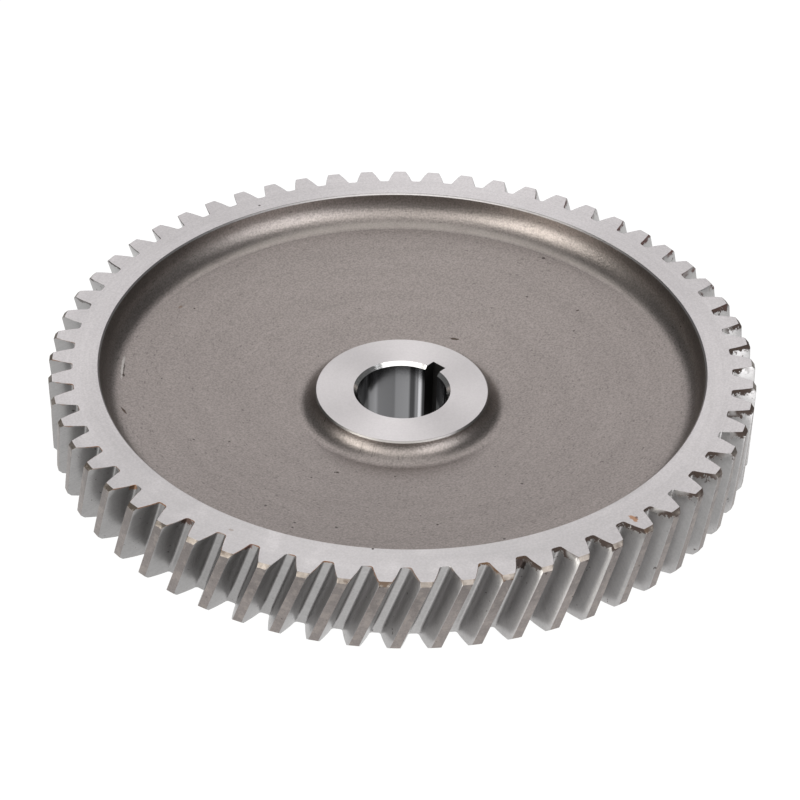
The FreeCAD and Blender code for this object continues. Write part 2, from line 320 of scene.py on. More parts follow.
@dataclass
class ToothedRim:
    """The teeth, with the flat ends of the rim between their roots and the recess."""

    sizes: GearSizes
    edge_break: float = 0.1 * MM
    # Insets and drops along the quarter circle of the broken edge, as shares of its radius
    edge_points: tuple = ((1.0, 0.0), (0.5, 0.134), (0.134, 0.5), (0.0, 1.0))
    rows: int = 7
    ring_steps: int = 6
    arc_steps: int = 3
    # Ring steps by which the helix has turned at the rim's base
    base_shift: int = 5

    def heights(self) -> list:
        """Rows of the gap's mesh from top to bottom.

        Returns:
            For each row the share of the way down, the inset and the drop from the nearer end.
        """
        size = self.edge_break
        ends = [(inset * size, drop * size) for inset, drop in self.edge_points]
        middle = [(k / self.rows, 0.0, 0.0) for k in range(1, self.rows)]
        return [(0.0, *end) for end in ends] + middle + [(1.0, *end) for end in ends[::-1]]

    def end_height(self, share: float, cone: bool, radius: float) -> float:
        """Height of the rim's upper or lower end at a radius.

        Args:
            share: 0 at the top and 1 at the bottom.
            cone: whether the point lies on the tips' chamfer.
            radius: distance from the axis.

        Returns:
            The height, blended between both ends.
        """
        sizes = self.sizes
        fall = radius - sizes.chamfer_radius if cone else 0.0
        top, base = sizes.rim_top - fall, sizes.rim_base + fall
        return top + (base - top) * share

    def gap(self, profile: ToothProfile) -> bpy.types.Object:
        """Model one gap as a grid whose columns follow the outline and whose rows follow the helix.

        Args:
            profile: the outline in the plane of rotation.

        Returns:
            The gap with its share of the rim's ends.
        """
        sizes = self.sizes
        points = profile.outline()
        normals = profile.normals(points)
        cone = [p.length > sizes.chamfer_radius + 1e-7 for p in points]
        rows = self.heights()
        start_clean()
        bpy.ops.mesh.primitive_grid_add(
            x_subdivisions=len(points) - 1, y_subdivisions=len(rows) - 1, size=1
        )
        gap = bpy.context.object
        grid = sorted(gap.data.vertices, key=lambda v: (-round(v.co.y, 5), round(v.co.x, 5)))
        for row, (share, inset, drop) in enumerate(rows):
            for column, point in enumerate(points):
                place = point - normals[column] * inset
                height = self.end_height(share, cone[column], place.length)
                height += drop if share > 0.5 else -drop
                turned = Matrix.Rotation(sizes.turn(height), 2) @ place
                grid[row * len(points) + column].co = (*turned, height)
        rims = [[v.index for v in row] for row in (grid[: len(points)], grid[-len(points):])]
        self.close_ends(gap, rims, cone)
        return gap

    def close_ends(self, gap: bpy.types.Object, rims: list, cone: list) -> None:
        """Add the flat ends and the tips' chamfers to one gap.

        Args:
            gap: the gap's object.
            rims: indices of the first and the last row of its grid.
            cone: which columns lie on the tips' chamfer.
        """
        sizes = self.sizes
        half = sizes.pitch_angle / 2
        first = cone.index(False)
        last = len(cone) - 1 - cone[::-1].index(False)
        start = sizes.turn(sizes.rim_top) - half
        step = sizes.pitch_angle / self.ring_steps
        inner = (
            (sizes.recess_radius + sizes.rim_chamfer, sizes.rim_top, start),
            (sizes.hub_radius + sizes.back_bevel, sizes.rim_base, start - self.base_shift * step),
        )
        edit("DESELECT")
        mesh = bmesh.from_edit_mesh(gap.data)
        mesh.verts.ensure_lookup_table()
        grid = list(mesh.verts)

        def circle(radius: float, height: float, turns: list) -> list:
            """Add vertices at some angles of a circle about the bore."""
            return [
                mesh.verts.new((radius * math.cos(t), radius * math.sin(t), height)) for t in turns
            ]

        for rim, (radius, height, begin) in zip(rims, inner):
            row = [grid[k] for k in rim]
            middle = sizes.turn(height)
            left, right = (
                circle(
                    sizes.chamfer_radius,
                    height,
                    steps_between(angle_of(corner.co), end, self.arc_steps),
                )
                for corner, end in ((row[first], middle - half), (row[last], middle + half))
            )
            ring = circle(radius, height, [begin + step * k for k in range(self.ring_steps + 1)])
            mesh.faces.new(left[::-1] + row[first:last + 1] + right + ring[::-1])
            mesh.faces.new(row[:first + 1] + left)
            mesh.faces.new(row[last:] + right[::-1])
        bmesh.update_edit_mesh(gap.data)
        object_mode()

    def build(self) -> bpy.types.Object:
        """Model one gap and repeat it round the rim.

        Returns:
            The toothed rim.
        """
        rim = self.gap(ToothProfile(self.sizes))
        rim.name = "toothed_rim"
        edit()
        copies = self.sizes.tooth_count - 1
        spin(copies, self.sizes.pitch_angle * copies, copies=True)
        return rim


@dataclass
class TurnedBody:
    """Recess, web, hub and bore, spun from one section."""

    sizes: GearSizes
    steps: int = 354
    rim_steps: int = 10
    hub_steps: int = 9

    def section(self) -> list:
        """The section from the recess's edge over web, hub and bore to the back's bevel.

        Returns:
            Pairs of radius and height.
        """
        s = self.sizes
        rise = 1 / math.cos(s.web_slope)
        slope = math.degrees(s.web_slope)
        rim_centre_radius = s.recess_radius - s.rim_fillet
        rim_centre = (rim_centre_radius, s.web_top(rim_centre_radius) + s.rim_fillet * rise)
        wall_foot = s.hub_length - s.hub_wall
        drop = s.web_top(s.hub_radius) + s.hub_fillet * rise - wall_foot
        reach = math.sqrt((s.hub_fillet * rise) ** 2 - drop**2) - drop * math.tan(s.web_slope)
        hub_centre_radius = s.hub_radius + reach / rise**2
        hub_centre = (hub_centre_radius, s.web_top(hub_centre_radius) + s.hub_fillet * rise)
        hub_turn = math.degrees(
            math.atan2(wall_foot - hub_centre[1], s.hub_radius - hub_centre_radius)
        ) % 360
        return [
            (s.recess_radius + s.rim_chamfer, s.rim_top),
            (s.recess_radius, s.rim_top - s.rim_chamfer),
            *arc_points(rim_centre, s.rim_fillet, 0, slope - 90, self.rim_steps),
            *arc_points(hub_centre, s.hub_fillet, 270 + slope, hub_turn, self.hub_steps),
            (s.hub_radius, s.hub_length - s.hub_chamfer),
            (s.hub_radius - s.hub_chamfer, s.hub_length),
            (s.bore_radius + s.bore_chamfer, s.hub_length),
            (s.bore_radius, s.hub_length - s.bore_chamfer),
            (s.bore_radius, s.bore_chamfer),
            (s.bore_radius + s.bore_chamfer, 0),
            (s.hub_radius - s.hub_chamfer, 0),
            (s.hub_radius, s.hub_chamfer),
            (s.hub_radius, s.rim_base - s.back_bevel),
            (s.hub_radius + s.back_bevel, s.rim_base),
        ]

    def build(self) -> bpy.types.Object:
        """Draw the section by extruding one point along it, and spin it round the bore.

        Returns:
            The turned body.
        """
        s = self.sizes
        outward = direction(s.turn(s.rim_top) - s.pitch_angle / 2).to_3d()
        places = [outward * radius + Vector((0, 0, height)) for radius, height in self.section()]
        start_clean()
        bpy.ops.mesh.primitive_plane_add(size=MM, location=places[0])
        body = bpy.context.object
        body.name = "turned_body"
        apply_placing()
        edit()
        bpy.ops.mesh.merge(type="CENTER")
        for here, there in zip(places, places[1:]):
            bpy.ops.mesh.extrude_region_move(TRANSFORM_OT_translate={"value": there - here})
        bpy.ops.mesh.select_all(action="SELECT")
        spin(self.steps, 2 * math.pi)
        return body


class Region(Enum):
    """Surfaces of the gear that differ in how they were made."""

    RIM_FACE = 0
    FLANK = 1
    TIP_LAND = 2
    TIP_CHAMFER = 3
    WEB = 4
    HUB_FACE = 5
    BORE = 6
    KEYWAY = 7
    BACK = 8


@dataclass
class PinionGear:
    """The whole gear as one closed mesh."""

    sizes: GearSizes = field(default_factory=GearSizes)
    name: str = "gear"
    cutter_room: float = 4 * MM
    slack: float = 0.02 * MM
    slot_start: float = 0.3 * MM
    land_depth: float = 0.06 * MM

    def build(self) -> bpy.types.Object:
        """Join the rim and the turned body, cut the keyway and smooth the faces.

        Returns:
            The gear.
        """
        rim = ToothedRim(self.sizes).build()
        body = TurnedBody(self.sizes).build()
        start_clean()
        body.select_set(True)
        rim.select_set(True)
        bpy.context.view_layer.objects.active = rim
        bpy.ops.object.join()
        rim.name = rim.data.name = self.name
        edit()
        bpy.ops.mesh.remove_doubles(threshold=SEAM)
        bpy.ops.mesh.normals_make_consistent(inside=False)
        object_mode()
        self.cut_keyway(rim)
        self.smooth(rim)
        return rim

    def cut_keyway(self, gear: bpy.types.Object) -> None:
        """Cut the keyway through the bore along +X.

        Args:
            gear: the joined mesh.
        """
        s = self.sizes
        start_clean()
        bpy.ops.mesh.primitive_cube_add(size=1, location=(s.key_reach / 2, 0, s.hub_length / 2))
        cutter = bpy.context.object
        cutter.scale = (s.key_reach, s.key_width, s.hub_length + self.cutter_room)
        apply_placing()
        bpy.context.view_layer.objects.active = gear
        cut = gear.modifiers.new("keyway", "BOOLEAN")
        cut.operation = "DIFFERENCE"
        cut.solver = "EXACT"
        cut.object = cutter
        bpy.ops.object.modifier_apply(modifier=cut.name)
        bpy.data.objects.remove(cutter)

    def smooth(self, gear: bpy.types.Object) -> None:
        """Smooth the curved faces, keep the flat ones flat and sort all of them by region.

        Args:
            gear: the finished mesh.
        """
        start_clean()
        gear.select_set(True)
        bpy.context.view_layer.objects.active = gear
        bpy.ops.object.shade_smooth_by_angle(angle=SMOOTH_ANGLE)
        for face in gear.data.polygons:
            region = self.region(face.center, face.normal)
            face.material_index = region.value
            face.use_smooth = abs(face.normal.z) <= FLAT and region is not Region.KEYWAY

    def in_keyway(self, centre: Vector, normal: Vector) -> bool:
        """Tell whether a face near the bore is a side or the floor of the keyway.

        Args:
            centre: the face's middle.
            normal: its outward normal.

        Returns:
            True for the keyway.
        """
        s = self.sizes
        side = abs(normal.y) > 0.9 or centre.x > s.key_reach - self.slack
        upright = abs(normal.z) < 0.1
        across = abs(centre.y) < s.key_width / 2 + self.slack
        along = centre.x > s.bore_radius - self.slot_start
        return side and upright and across and along

    def region(self, centre: Vector, normal: Vector) -> Region:
        """Tell which surface a face belongs to.

        Args:
            centre: the face's middle.
            normal: its outward normal.

        Returns:
            The region.
        """
        s = self.sizes
        radius = centre.xy.length
        wall = s.recess_radius
        if radius < s.hub_radius - s.hub_chamfer and self.in_keyway(centre, normal):
            return Region.KEYWAY
        if radius < s.bore_radius + s.bore_chamfer:
            return Region.BORE
        if radius < s.hub_radius and normal.z > 0.5:
            return Region.HUB_FACE
        if normal.z < -0.9 or (radius < s.hub_radius + s.back_bevel and centre.z < s.rim_base):
            return Region.BACK
        if radius < wall - self.slack or (radius < wall + self.slack and normal.z < 0.5):
            return Region.WEB
        if radius < wall + s.rim_chamfer or normal.z > FLAT:
            return Region.RIM_FACE
        if radius > s.chamfer_radius and abs(normal.z) > 0.6:
            return Region.TIP_CHAMFER
        if radius > s.tip_radius - self.land_depth:
            return Region.TIP_LAND
        return Region.FLANK


# Shader groups


def from_photo_angle(angle: float) -> tuple:
    """Unit vector about the bore for an angle counted from the camera's right.

    Args:
        angle: counterclockwise angle seen from above, in degrees.

    Returns:
        The direction in the gear's frame.
    """
    turned = math.radians(angle + Camera.turn)
    return math.cos(turned), math.sin(turned), 0.0


def emptied(owner: bpy.types.Material | bpy.types.World) -> bpy.types.NodeTree:
    """Empty the node tree of a material or a world."""
    owner.use_nodes = True
    owner.node_tree.nodes.clear()
    return owner.node_tree


class Graph:
    """Adds nodes to a tree and joins them."""

    def __init__(self, tree: bpy.types.NodeTree) -> None:
        """Work on a node tree."""
        self.tree = tree

    def add(self, kind: str, settings: dict | None = None, **inputs: Value) -> bpy.types.Node:
        """Add a node.

        Args:
            kind: the node's type.
            settings: its properties.
            inputs: values or sockets by input name, with _ for a space.

        Returns:
            The node.
        """
        node = self.tree.nodes.new(kind)
        for name, value in (settings or {}).items():
            setattr(node, name, value)
        for name, value in inputs.items():
            self.put(node.inputs[name.replace("_", " ")], value)
        return node

    def put(self, socket: Socket, value: Value) -> None:
        """Set an input or join a socket to it.

        Args:
            socket: the input.
            value: what it gets.
        """
        if isinstance(value, Socket):
            self.tree.links.new(value, socket)
        else:
            socket.default_value = value

    def math(self, operation: str, *values: Value) -> Socket:
        """Add a Math node.

        Args:
            operation: what it works out.
            values: its inputs in order.

        Returns:
            Its result.
        """
        node = self.add("ShaderNodeMath", {"operation": operation})
        for socket, value in zip(node.inputs, values):
            self.put(socket, value)
        return node.outputs[0]

    def times(self, first: Value, second: Value) -> Socket:
        """Multiply two values."""
        return self.math("MULTIPLY", first, second)

    def linear(self, value: Value, factor: Value, offset: Value) -> Socket:
        """Multiply a value by a factor and add an offset."""
        return self.math("MULTIPLY_ADD", value, factor, offset)

    def vector(self, operation: str, *values: Value) -> Socket:
        """Add a Vector Math node.

        Args:
            operation: what it works out.
            values: its two inputs, of which the second is the factor of SCALE.

        Returns:
            Its result.
        """
        node = self.add("ShaderNodeVectorMath", {"operation": operation})
        sockets = (node.inputs[0], node.inputs["Scale"] if operation == "SCALE" else node.inputs[1])
        for socket, value in zip(sockets, values):
            self.put(socket, value)
        return node.outputs["Value" if operation in ("DOT_PRODUCT", "LENGTH") else "Vector"]

    def ramp(
        self, value: Value, low: float, high: float, first: float = 0.0, last: float = 1.0
    ) -> Socket:
        """Map a value smoothly and clamped from one range to another.

        Args:
            value: the value.
            low: where its range starts.
            high: where its range ends.
            first: result at the start.
            last: result at the end.

        Returns:
            The mapped value.
        """
        node = self.add(
            "ShaderNodeMapRange",
            {"interpolation_type": "SMOOTHSTEP"},
            Value=value,
            From_Min=low,
            From_Max=high,
            To_Min=first,
            To_Max=last,
        )
        return node.outputs["Result"]

    def mix(self, factor: Value, first: Value, second: Value) -> Socket:
        """Mix two colours.

        Args:
            factor: share of the second one.
            first: the first colour's socket.
            second: the second colour's socket or its three values.

        Returns:
            The mixed colour.
        """
        node = self.add("ShaderNodeMix", {"data_type": "RGBA"})
        self.put(node.inputs["Factor"], factor)
        self.put(node.inputs[6], first)
        self.put(node.inputs[7], second if isinstance(second, Socket) else (*second, 1.0))
        return node.outputs[2]

    def noise(
        self, vector: Value, scale: Value, detail: float = 2.0, rough: float = 0.5
    ) -> Socket:
        """Add a noise texture.

        Args:
            vector: the place.
            scale: how fine it is.
            detail: how many finer layers it has.
            rough: how strong they are.

        Returns:
            Its value.
        """
        node = self.add(
            "ShaderNodeTexNoise", Vector=vector, Scale=scale, Detail=detail, Roughness=rough
        )
        return node.outputs[0]

    def join(self, x: Value, y: Value, z: Value) -> Socket:
        """Combine three values into a vector."""
        return self.add("ShaderNodeCombineXYZ", X=x, Y=y, Z=z).outputs[0]

    def split(self, vector: Value) -> tuple:
        """Separate a vector into three values."""
        return tuple(self.add("ShaderNodeSeparateXYZ", Vector=vector).outputs)

    def polar(self, position: Value) -> tuple:
        """Express a position about the bore.

        Args:
            position: the position.

        Returns:
            Its radius, the cosine and the sine of its angle, and its height.
        """
        x, y, z = self.split(position)
        radius = self.math("SQRT", self.math("ADD", self.times(x, x), self.times(y, y)))
        return radius, self.math("DIVIDE", x, radius), self.math("DIVIDE", y, radius), z

    def photo_angle(self, position: Value) -> Socket:
        """Work out a position's angle about the bore.

        Args:
            position: the position.

        Returns:
            The angle in radians, counted from the camera's right.
        """
        _, cosine, sine, _ = self.polar(position)
        angle = self.math("ARCTAN2", sine, cosine)
        return self.math("ADD", angle, math.radians(-Camera.turn))


def start_group(name: str, outputs: tuple, **inputs: float | None) -> tuple:
    """Start a shader group whose first input is the surface position.

    Args:
        name: the group's name.
        outputs: names of its outputs.
        inputs: default values of its other inputs by name, with None for a vector.

    Returns:
        The graph to draw in, the inputs by name, and the outputs by name.
    """
    tree = bpy.data.node_groups.new(name, "ShaderNodeTree")
    for label, value in {"Position": None, **inputs}.items():
        kind = "NodeSocketVector" if value is None else "NodeSocketFloat"
        socket = tree.interface.new_socket(label, in_out="INPUT", socket_type=kind)
        if value is not None:
            socket.default_value = value
    for label in outputs:
        tree.interface.new_socket(label, in_out="OUTPUT", socket_type="NodeSocketFloat")
    graph = Graph(tree)
    return graph, graph.add("NodeGroupInput").outputs, graph.add("NodeGroupOutput").inputs


def turning_marks_group() -> bpy.types.NodeTree:
    """Fine rings about the bore, as a lathe tool leaves them, and broader bands.

    Returns:
        The group.
    """
    graph, given, out = start_group(
        "turning_marks", ("Rings", "Bands"), Rings=2500.0, Length=6.0
    )
    band_share, band_length = 0.12, 1.6
    radius, cosine, sine, height = graph.polar(given["Position"])
    across = graph.math("ADD", radius, height)

    def stretched(rings: Value, arc: Value) -> Socket:
        """Place for a noise that is fine across the rings and long along them."""
        around = (graph.times(cosine, arc), graph.times(sine, arc))
        return graph.join(graph.times(across, rings), *around)

    rings = stretched(given["Rings"], given["Length"])
    bands = stretched(graph.times(given["Rings"], band_share), band_length)
    graph.put(out["Rings"], graph.noise(rings, 1.0, detail=3.0, rough=0.7))
    graph.put(out["Bands"], graph.noise(bands, 1.0))
    return graph.tree


def specks_group() -> bpy.types.NodeTree:
    """Scattered small marks, longer round the bore than across it and denser at the front.

    Returns:
        The group.
    """
    graph, given, out = start_group(
        "specks", ("Mask",), Size=0.001, Stretch=2.0, Share=0.1, Radius=0.06, Front=0.5
    )
    front_angle, least_density = -75.0, 0.12
    smallest, spread, small_power, soft = 0.10, 0.34, 3.0, 0.12
    radius, cosine, sine, height = graph.polar(given["Position"])
    x, y, _ = from_photo_angle(front_angle)
    toward = graph.linear(cosine, x, graph.times(sine, y))
    patchy = graph.ramp(graph.noise(given["Position"], 45.0), 0.35, 0.65, 0.2, 1.6)
    density = graph.linear(toward, given["Front"], patchy)
    share = graph.times(given["Share"], graph.math("MAXIMUM", density, least_density))
    angle = graph.math("ARCTAN2", sine, cosine)
    along = graph.math("DIVIDE", graph.times(angle, given["Radius"]), given["Stretch"])
    place = graph.join(
        graph.math("DIVIDE", graph.math("ADD", radius, height), given["Size"]),
        graph.math("DIVIDE", along, given["Size"]),
        0.0,
    )
    cells = graph.add("ShaderNodeTexVoronoi", {"voronoi_dimensions": "2D"}, Vector=place, Scale=1.0)
    pick = graph.add("ShaderNodeSeparateColor", Color=cells.outputs["Color"]).outputs
    chosen = graph.math("LESS_THAN", pick[0], share)
    reach = graph.linear(graph.math("POWER", pick[1], small_power), spread, smallest)
    edge = graph.math("SUBTRACT", reach, cells.outputs["Distance"])
    graph.put(out["Mask"], graph.times(chosen, graph.ramp(edge, 0.0, soft)))
    return graph.tree


def mottle_group() -> bpy.types.NodeTree:
    """Soft uneven tone at two scales.

    Returns:
        The group.
    """
    graph, given, out = start_group("mottle", ("Fine", "Broad"), Fine=1800.0, Broad=60.0)
    fine = graph.noise(given["Position"], given["Fine"], rough=0.6)
    broad = graph.noise(given["Position"], given["Broad"], detail=3.0, rough=0.55)
    graph.put(out["Fine"], graph.ramp(fine, 0.3, 0.7))
    graph.put(out["Broad"], broad)
    return graph.tree


def painted_sheen_group() -> bpy.types.NodeTree:
    """Painted sheen: light and dark tones by angle, for highlights that turning marks catch.

    Returns:
        The group.
    """
    graph, given, out = start_group("painted_sheen", ("Tone",))
    waves = ((4.0, 0.557, 0.58), (2.0, -2.534, 0.42))  # count a turn, phase and share
    angle = graph.photo_angle(given["Position"])
    total = 0.0
    for count, phase, share in waves:
        wave = graph.math("COSINE", graph.linear(angle, count, phase))
        total = graph.linear(wave, share, total)
    graph.put(out["Tone"], graph.linear(total, 0.5, 0.5))
    return graph.tree


def facing_group() -> bpy.types.NodeTree:
    """A soft window on the part of the gear that lies toward a direction.

    Returns:
        The group.
    """
    graph, given, out = start_group("facing", ("Mask",), Toward=None, Cosine=0.5, Soft=0.06)
    _, cosine, sine, _ = graph.polar(given["Position"])
    dot = graph.vector("DOT_PRODUCT", graph.join(cosine, sine, 0.0), given["Toward"])
    far = graph.math("SUBTRACT", dot, given["Cosine"])
    share = graph.math("DIVIDE", far, given["Soft"])
    graph.put(out["Mask"], graph.ramp(share, -1.0, 1.0))
    return graph.tree


def edge_rust_group() -> bpy.types.NodeTree:
    """Ragged rust in patches under the rim's upper edge.

    Returns:
        The group.
    """
    graph, given, out = start_group(
        "edge_rust", ("Mask",), Level=0.034, Depth=0.0012, Amount=0.5
    )
    soft = 0.2 * MM
    uneven, shift = 4.0, -1.2
    _, _, height = graph.split(given["Position"])
    below = graph.math("SUBTRACT", given["Level"], height)
    ragged = graph.noise(given["Position"], 600.0, detail=4.0, rough=0.7)
    patchy = graph.noise(given["Position"], 160.0)
    reach = graph.times(given["Depth"], graph.linear(ragged, uneven, shift))
    depth = graph.ramp(graph.math("SUBTRACT", reach, below), -soft, soft)
    spread = graph.math("SUBTRACT", graph.math("ADD", patchy, given["Amount"]), 1.0)
    graph.put(out["Mask"], graph.times(depth, graph.ramp(spread, -0.12, 0.05)))
    return graph.tree


def spot_group() -> bpy.types.NodeTree:
    """One mark with an uneven border at a place on the surface, long along a direction.

    Returns:
        The group.
    """
    graph, given, out = start_group("spot", ("Mask",), Centre=None, Along=None, Radius=0.001)
    soft = 0.12 * MM
    uneven, least = 1.6, 0.2
    away = graph.vector("SUBTRACT", given["Position"], given["Centre"])
    share = graph.vector("DOT_PRODUCT", away, given["Along"])
    pressed = graph.vector("SUBTRACT", away, graph.vector("SCALE", given["Along"], share))
    border = graph.linear(graph.noise(given["Position"], 1600.0, rough=0.6), uneven, least)
    reach = graph.times(given["Radius"], border)
    inside = graph.math("SUBTRACT", reach, graph.vector("LENGTH", pressed))
    graph.put(out["Mask"], graph.ramp(inside, -soft, soft))
    return graph.tree


def painted_line_group() -> bpy.types.NodeTree:
    """A line round the bore at one radius, soft at its sides and uneven along it, for painted shade
    and painted highlights.

    Returns:
        The group.
    """
    graph, given, out = start_group("painted_line", ("Mask",), Radius=0.08, Width=0.0003)
    radius = graph.polar(given["Position"])[0]
    away = graph.math("ABSOLUTE", graph.math("SUBTRACT", radius, given["Radius"]))
    near = graph.ramp(graph.math("DIVIDE", away, given["Width"]), 0.15, 0.8, 1.0, 0.0)
    uneven = graph.ramp(graph.noise(given["Position"], 90.0), 0.3, 0.5, 0.4, 1.0)
    graph.put(out["Mask"], graph.times(near, uneven))
    return graph.tree


class Effects:
    """The shader groups that the finishes share."""

    def __init__(self) -> None:
        """Build each group once."""
        self.turning = turning_marks_group()
        self.specks = specks_group()
        self.mottle = mottle_group()
        self.painted_sheen = painted_sheen_group()
        self.facing = facing_group()
        self.rust = edge_rust_group()
        self.spot = spot_group()
        self.line = painted_line_group()


class Surface(Graph):
    """A metal's material, with the surface position and the shared effects at hand."""

    def __init__(self, name: str, effects: Effects) -> None:
        """Start the material.

        Args:
            name: the material's name.
            effects: the shared shader groups.
        """
        self.material = bpy.data.materials.new(name)
        super().__init__(emptied(self.material))
        self.effects = effects
        self.position = self.add("ShaderNodeTexCoord").outputs["Object"]
        self.shader = self.add("ShaderNodeBsdfPrincipled")
        output = self.add("ShaderNodeOutputMaterial")
        self.put(output.inputs["Surface"], self.shader.outputs[0])

    def effect(self, tree: bpy.types.NodeTree, **inputs: Value) -> bpy.types.NodeOutputs:
        """Place one of the shared effects and return its outputs."""
        settings = {"node_tree": tree}
        return self.add("ShaderNodeGroup", settings, Position=self.position, **inputs).outputs

    def uneven(self, scale: float) -> Socket:
        """Uneven value whose patches get smaller with a scale."""
        return self.effect(self.effects.mottle, Broad=scale)["Broad"]

    def side(self, angle: float, reach: float, soft: float) -> Socket:
        """Mask of one side of the gear.

        Args:
            angle: the middle of the side, counted from the camera's right.
            reach: how far the side goes to either hand of it.
            soft: width of its border, as a change of the cosine.

        Returns:
            The mask.
        """
        return self.effect(
            self.effects.facing,
            Toward=from_photo_angle(angle),
            Cosine=math.cos(math.radians(reach)),
            Soft=soft,
        )[0]

    def paint(self, mask: Value, depth: float, under: Value, color: tuple) -> Socket:
        """Lay a colour over another one where a mask is, as strongly as its depth."""
        return self.mix(self.times(mask, depth), under, color)


# Finishes


@dataclass(frozen=True)
class Mark:
    """A single spot, dash or scratch on the web, the rim's face or the teeth.

    The angle counts from the camera's right, counterclockwise from above. Radius and size are in
    millimetres, and the turn is the angle of its length from the way round the bore. The drop is
    its depth in millimetres under the surface that lies level there.
    """

    angle: float
    radius: float
    size: float
    stretch: float = 1.0
    turn: float = 0.0
    color: tuple = (0.04, 0.03, 0.025)
    depth: float = 0.9
    drop: float = 0.0

    def place(self) -> tuple:
        """Find the mark on the gear.

        Returns:
            Its centre, and the vector along which it is long.
        """
        sizes = GearSizes()
        radius = self.radius * MM
        height = sizes.rim_top if radius > sizes.recess_radius else sizes.web_top(radius)
        outward = Vector(from_photo_angle(self.angle))
        centre = outward * radius + Vector((0, 0, height - self.drop * MM))
        along = Matrix.Rotation(math.radians(90 + self.turn), 3, "Z") @ outward
        return tuple(centre), tuple(along * math.sqrt(1 - self.stretch**-2))


@dataclass(frozen=True)
class PaintedLine:
    """A line of painted shade or highlight round the bore on one side, with radius and width in
    millimetres.
    """

    radius: float
    width: float
    color: tuple
    depth: float
    side: float
    reach: float


@dataclass(frozen=True)
class Specks:
    """Scattered marks: their cell's size, their stretch, the share of cells and their strength."""

    size: float
    stretch: float
    share: float
    depth: float


@dataclass(frozen=True)
class Rust:
    """Rust under the rim's upper edge, on the side of the gear toward an angle."""

    color: tuple
    depth: float
    amount: float
    side: float
    reach: float


@dataclass(frozen=True)
class SteelFinish:
    """Bare steel as one way of machining leaves it, with painted sheen and painted lines where
    given.
    """

    name: str
    color: tuple
    roughness: float
    rings: float = 2500.0
    ring_tone: float = 0.12
    ring_bump: float = 0.15
    band_tone: float = 0.10
    mottle_tone: float = 0.06
    broad: float = 60.0
    grain_tone: float = 0.08
    grain_bump: float = 0.05
    # share of the painted sheen by angle, which stands in for highlights on turned faces
    painted_sheen_tone: float = 0.0
    painted_line_soft: float = 0.2
    relief: float = 0.02 * MM
    marks: tuple = ()
    painted_lines: tuple = ()

    def tone(self, surface: Surface) -> tuple:
        """Draw the marks of machining and the painted sheen by angle.

        Args:
            surface: the material's graph.

        Returns:
            The steel's colour, its roughness, and the height of its marks.
        """
        turning = surface.effect(surface.effects.turning, Rings=self.rings)
        mottle = surface.effect(surface.effects.mottle, Broad=self.broad)
        painted_sheen = surface.effect(surface.effects.painted_sheen)
        shade = 1.0
        for value, share in (
            (turning["Rings"], self.ring_tone),
            (turning["Bands"], self.band_tone),
            (mottle["Broad"], self.mottle_tone),
            (mottle["Fine"], self.grain_tone),
            # painted sheen: tone by angle that stands in for highlights
            (painted_sheen["Tone"], self.painted_sheen_tone),
        ):
            shade = surface.times(shade, surface.linear(value, 2 * share, 1.0 - share))
        color = surface.vector("SCALE", self.color, shade)
        rough = surface.linear(mottle["Broad"], 0.3 * self.roughness, 0.85 * self.roughness)
        grain = surface.times(mottle["Fine"], self.grain_bump)
        return color, rough, surface.linear(turning["Rings"], self.ring_bump, grain)

    def wear(self, surface: Surface, color: Value, rough: Value) -> tuple:
        """Add this surface's wear; bare steel has none.

        Args:
            surface: the material's graph, not used here.
            color: the steel's colour.
            rough: its roughness.

        Returns:
            The colour, the roughness and how metallic the surface is.
        """
        return color, rough, 1.0

    def material(self, effects: Effects) -> bpy.types.Material:
        """Build the finish.

        Args:
            effects: the shared shader groups.

        Returns:
            The material.
        """
        surface = Surface(self.name, effects)
        color, rough, height = self.tone(surface)
        color, rough, metal = self.wear(surface, color, rough)
        # painted lines of shade and highlight on one side of the gear
        for line in self.painted_lines:
            ring = surface.effect(effects.line, Radius=line.radius * MM, Width=line.width * MM)[0]
            part = surface.times(ring, surface.side(line.side, line.reach, self.painted_line_soft))
            color = surface.paint(part, line.depth, color, line.color)
        for mark in self.marks:
            centre, along = mark.place()
            spot = surface.effect(
                effects.spot, Centre=centre, Along=along, Radius=mark.size * MM
            )[0]
            color = surface.paint(spot, mark.depth, color, mark.color)
        bump = surface.add("ShaderNodeBump", Strength=1.0, Distance=self.relief, Height=height)
        inputs = surface.shader.inputs
        surface.put(inputs["Base Color"], color)
        surface.put(inputs["Roughness"], rough)
        surface.put(inputs["Metallic"], metal)
        surface.put(inputs["Normal"], bump.outputs[0])
        return surface.material


@dataclass(frozen=True)
class WebFinish(SteelFinish):
    """The web's steel, with short dashes round the bore and a few small pits."""

    dark: tuple = (0.05, 0.042, 0.04)
    specks: tuple = (Specks(0.8 * MM, 2.0, 0.2, 0.33), Specks(1.5 * MM, 0.8, 0.008, 0.8))

    def wear(self, surface: Surface, color: Value, rough: Value) -> tuple:
        """Add dashes and pits.

        Args:
            surface: the material's graph.
            color: the steel's colour.
            rough: its roughness.

        Returns:
            The colour, the roughness and how metallic the surface is.
        """
        for specks in self.specks:
            mask = surface.effect(
                surface.effects.specks,
                Size=specks.size,
                Stretch=specks.stretch,
                Share=specks.share,
            )[0]
            color = surface.paint(mask, specks.depth, color, self.dark)
        return color, rough, 1.0


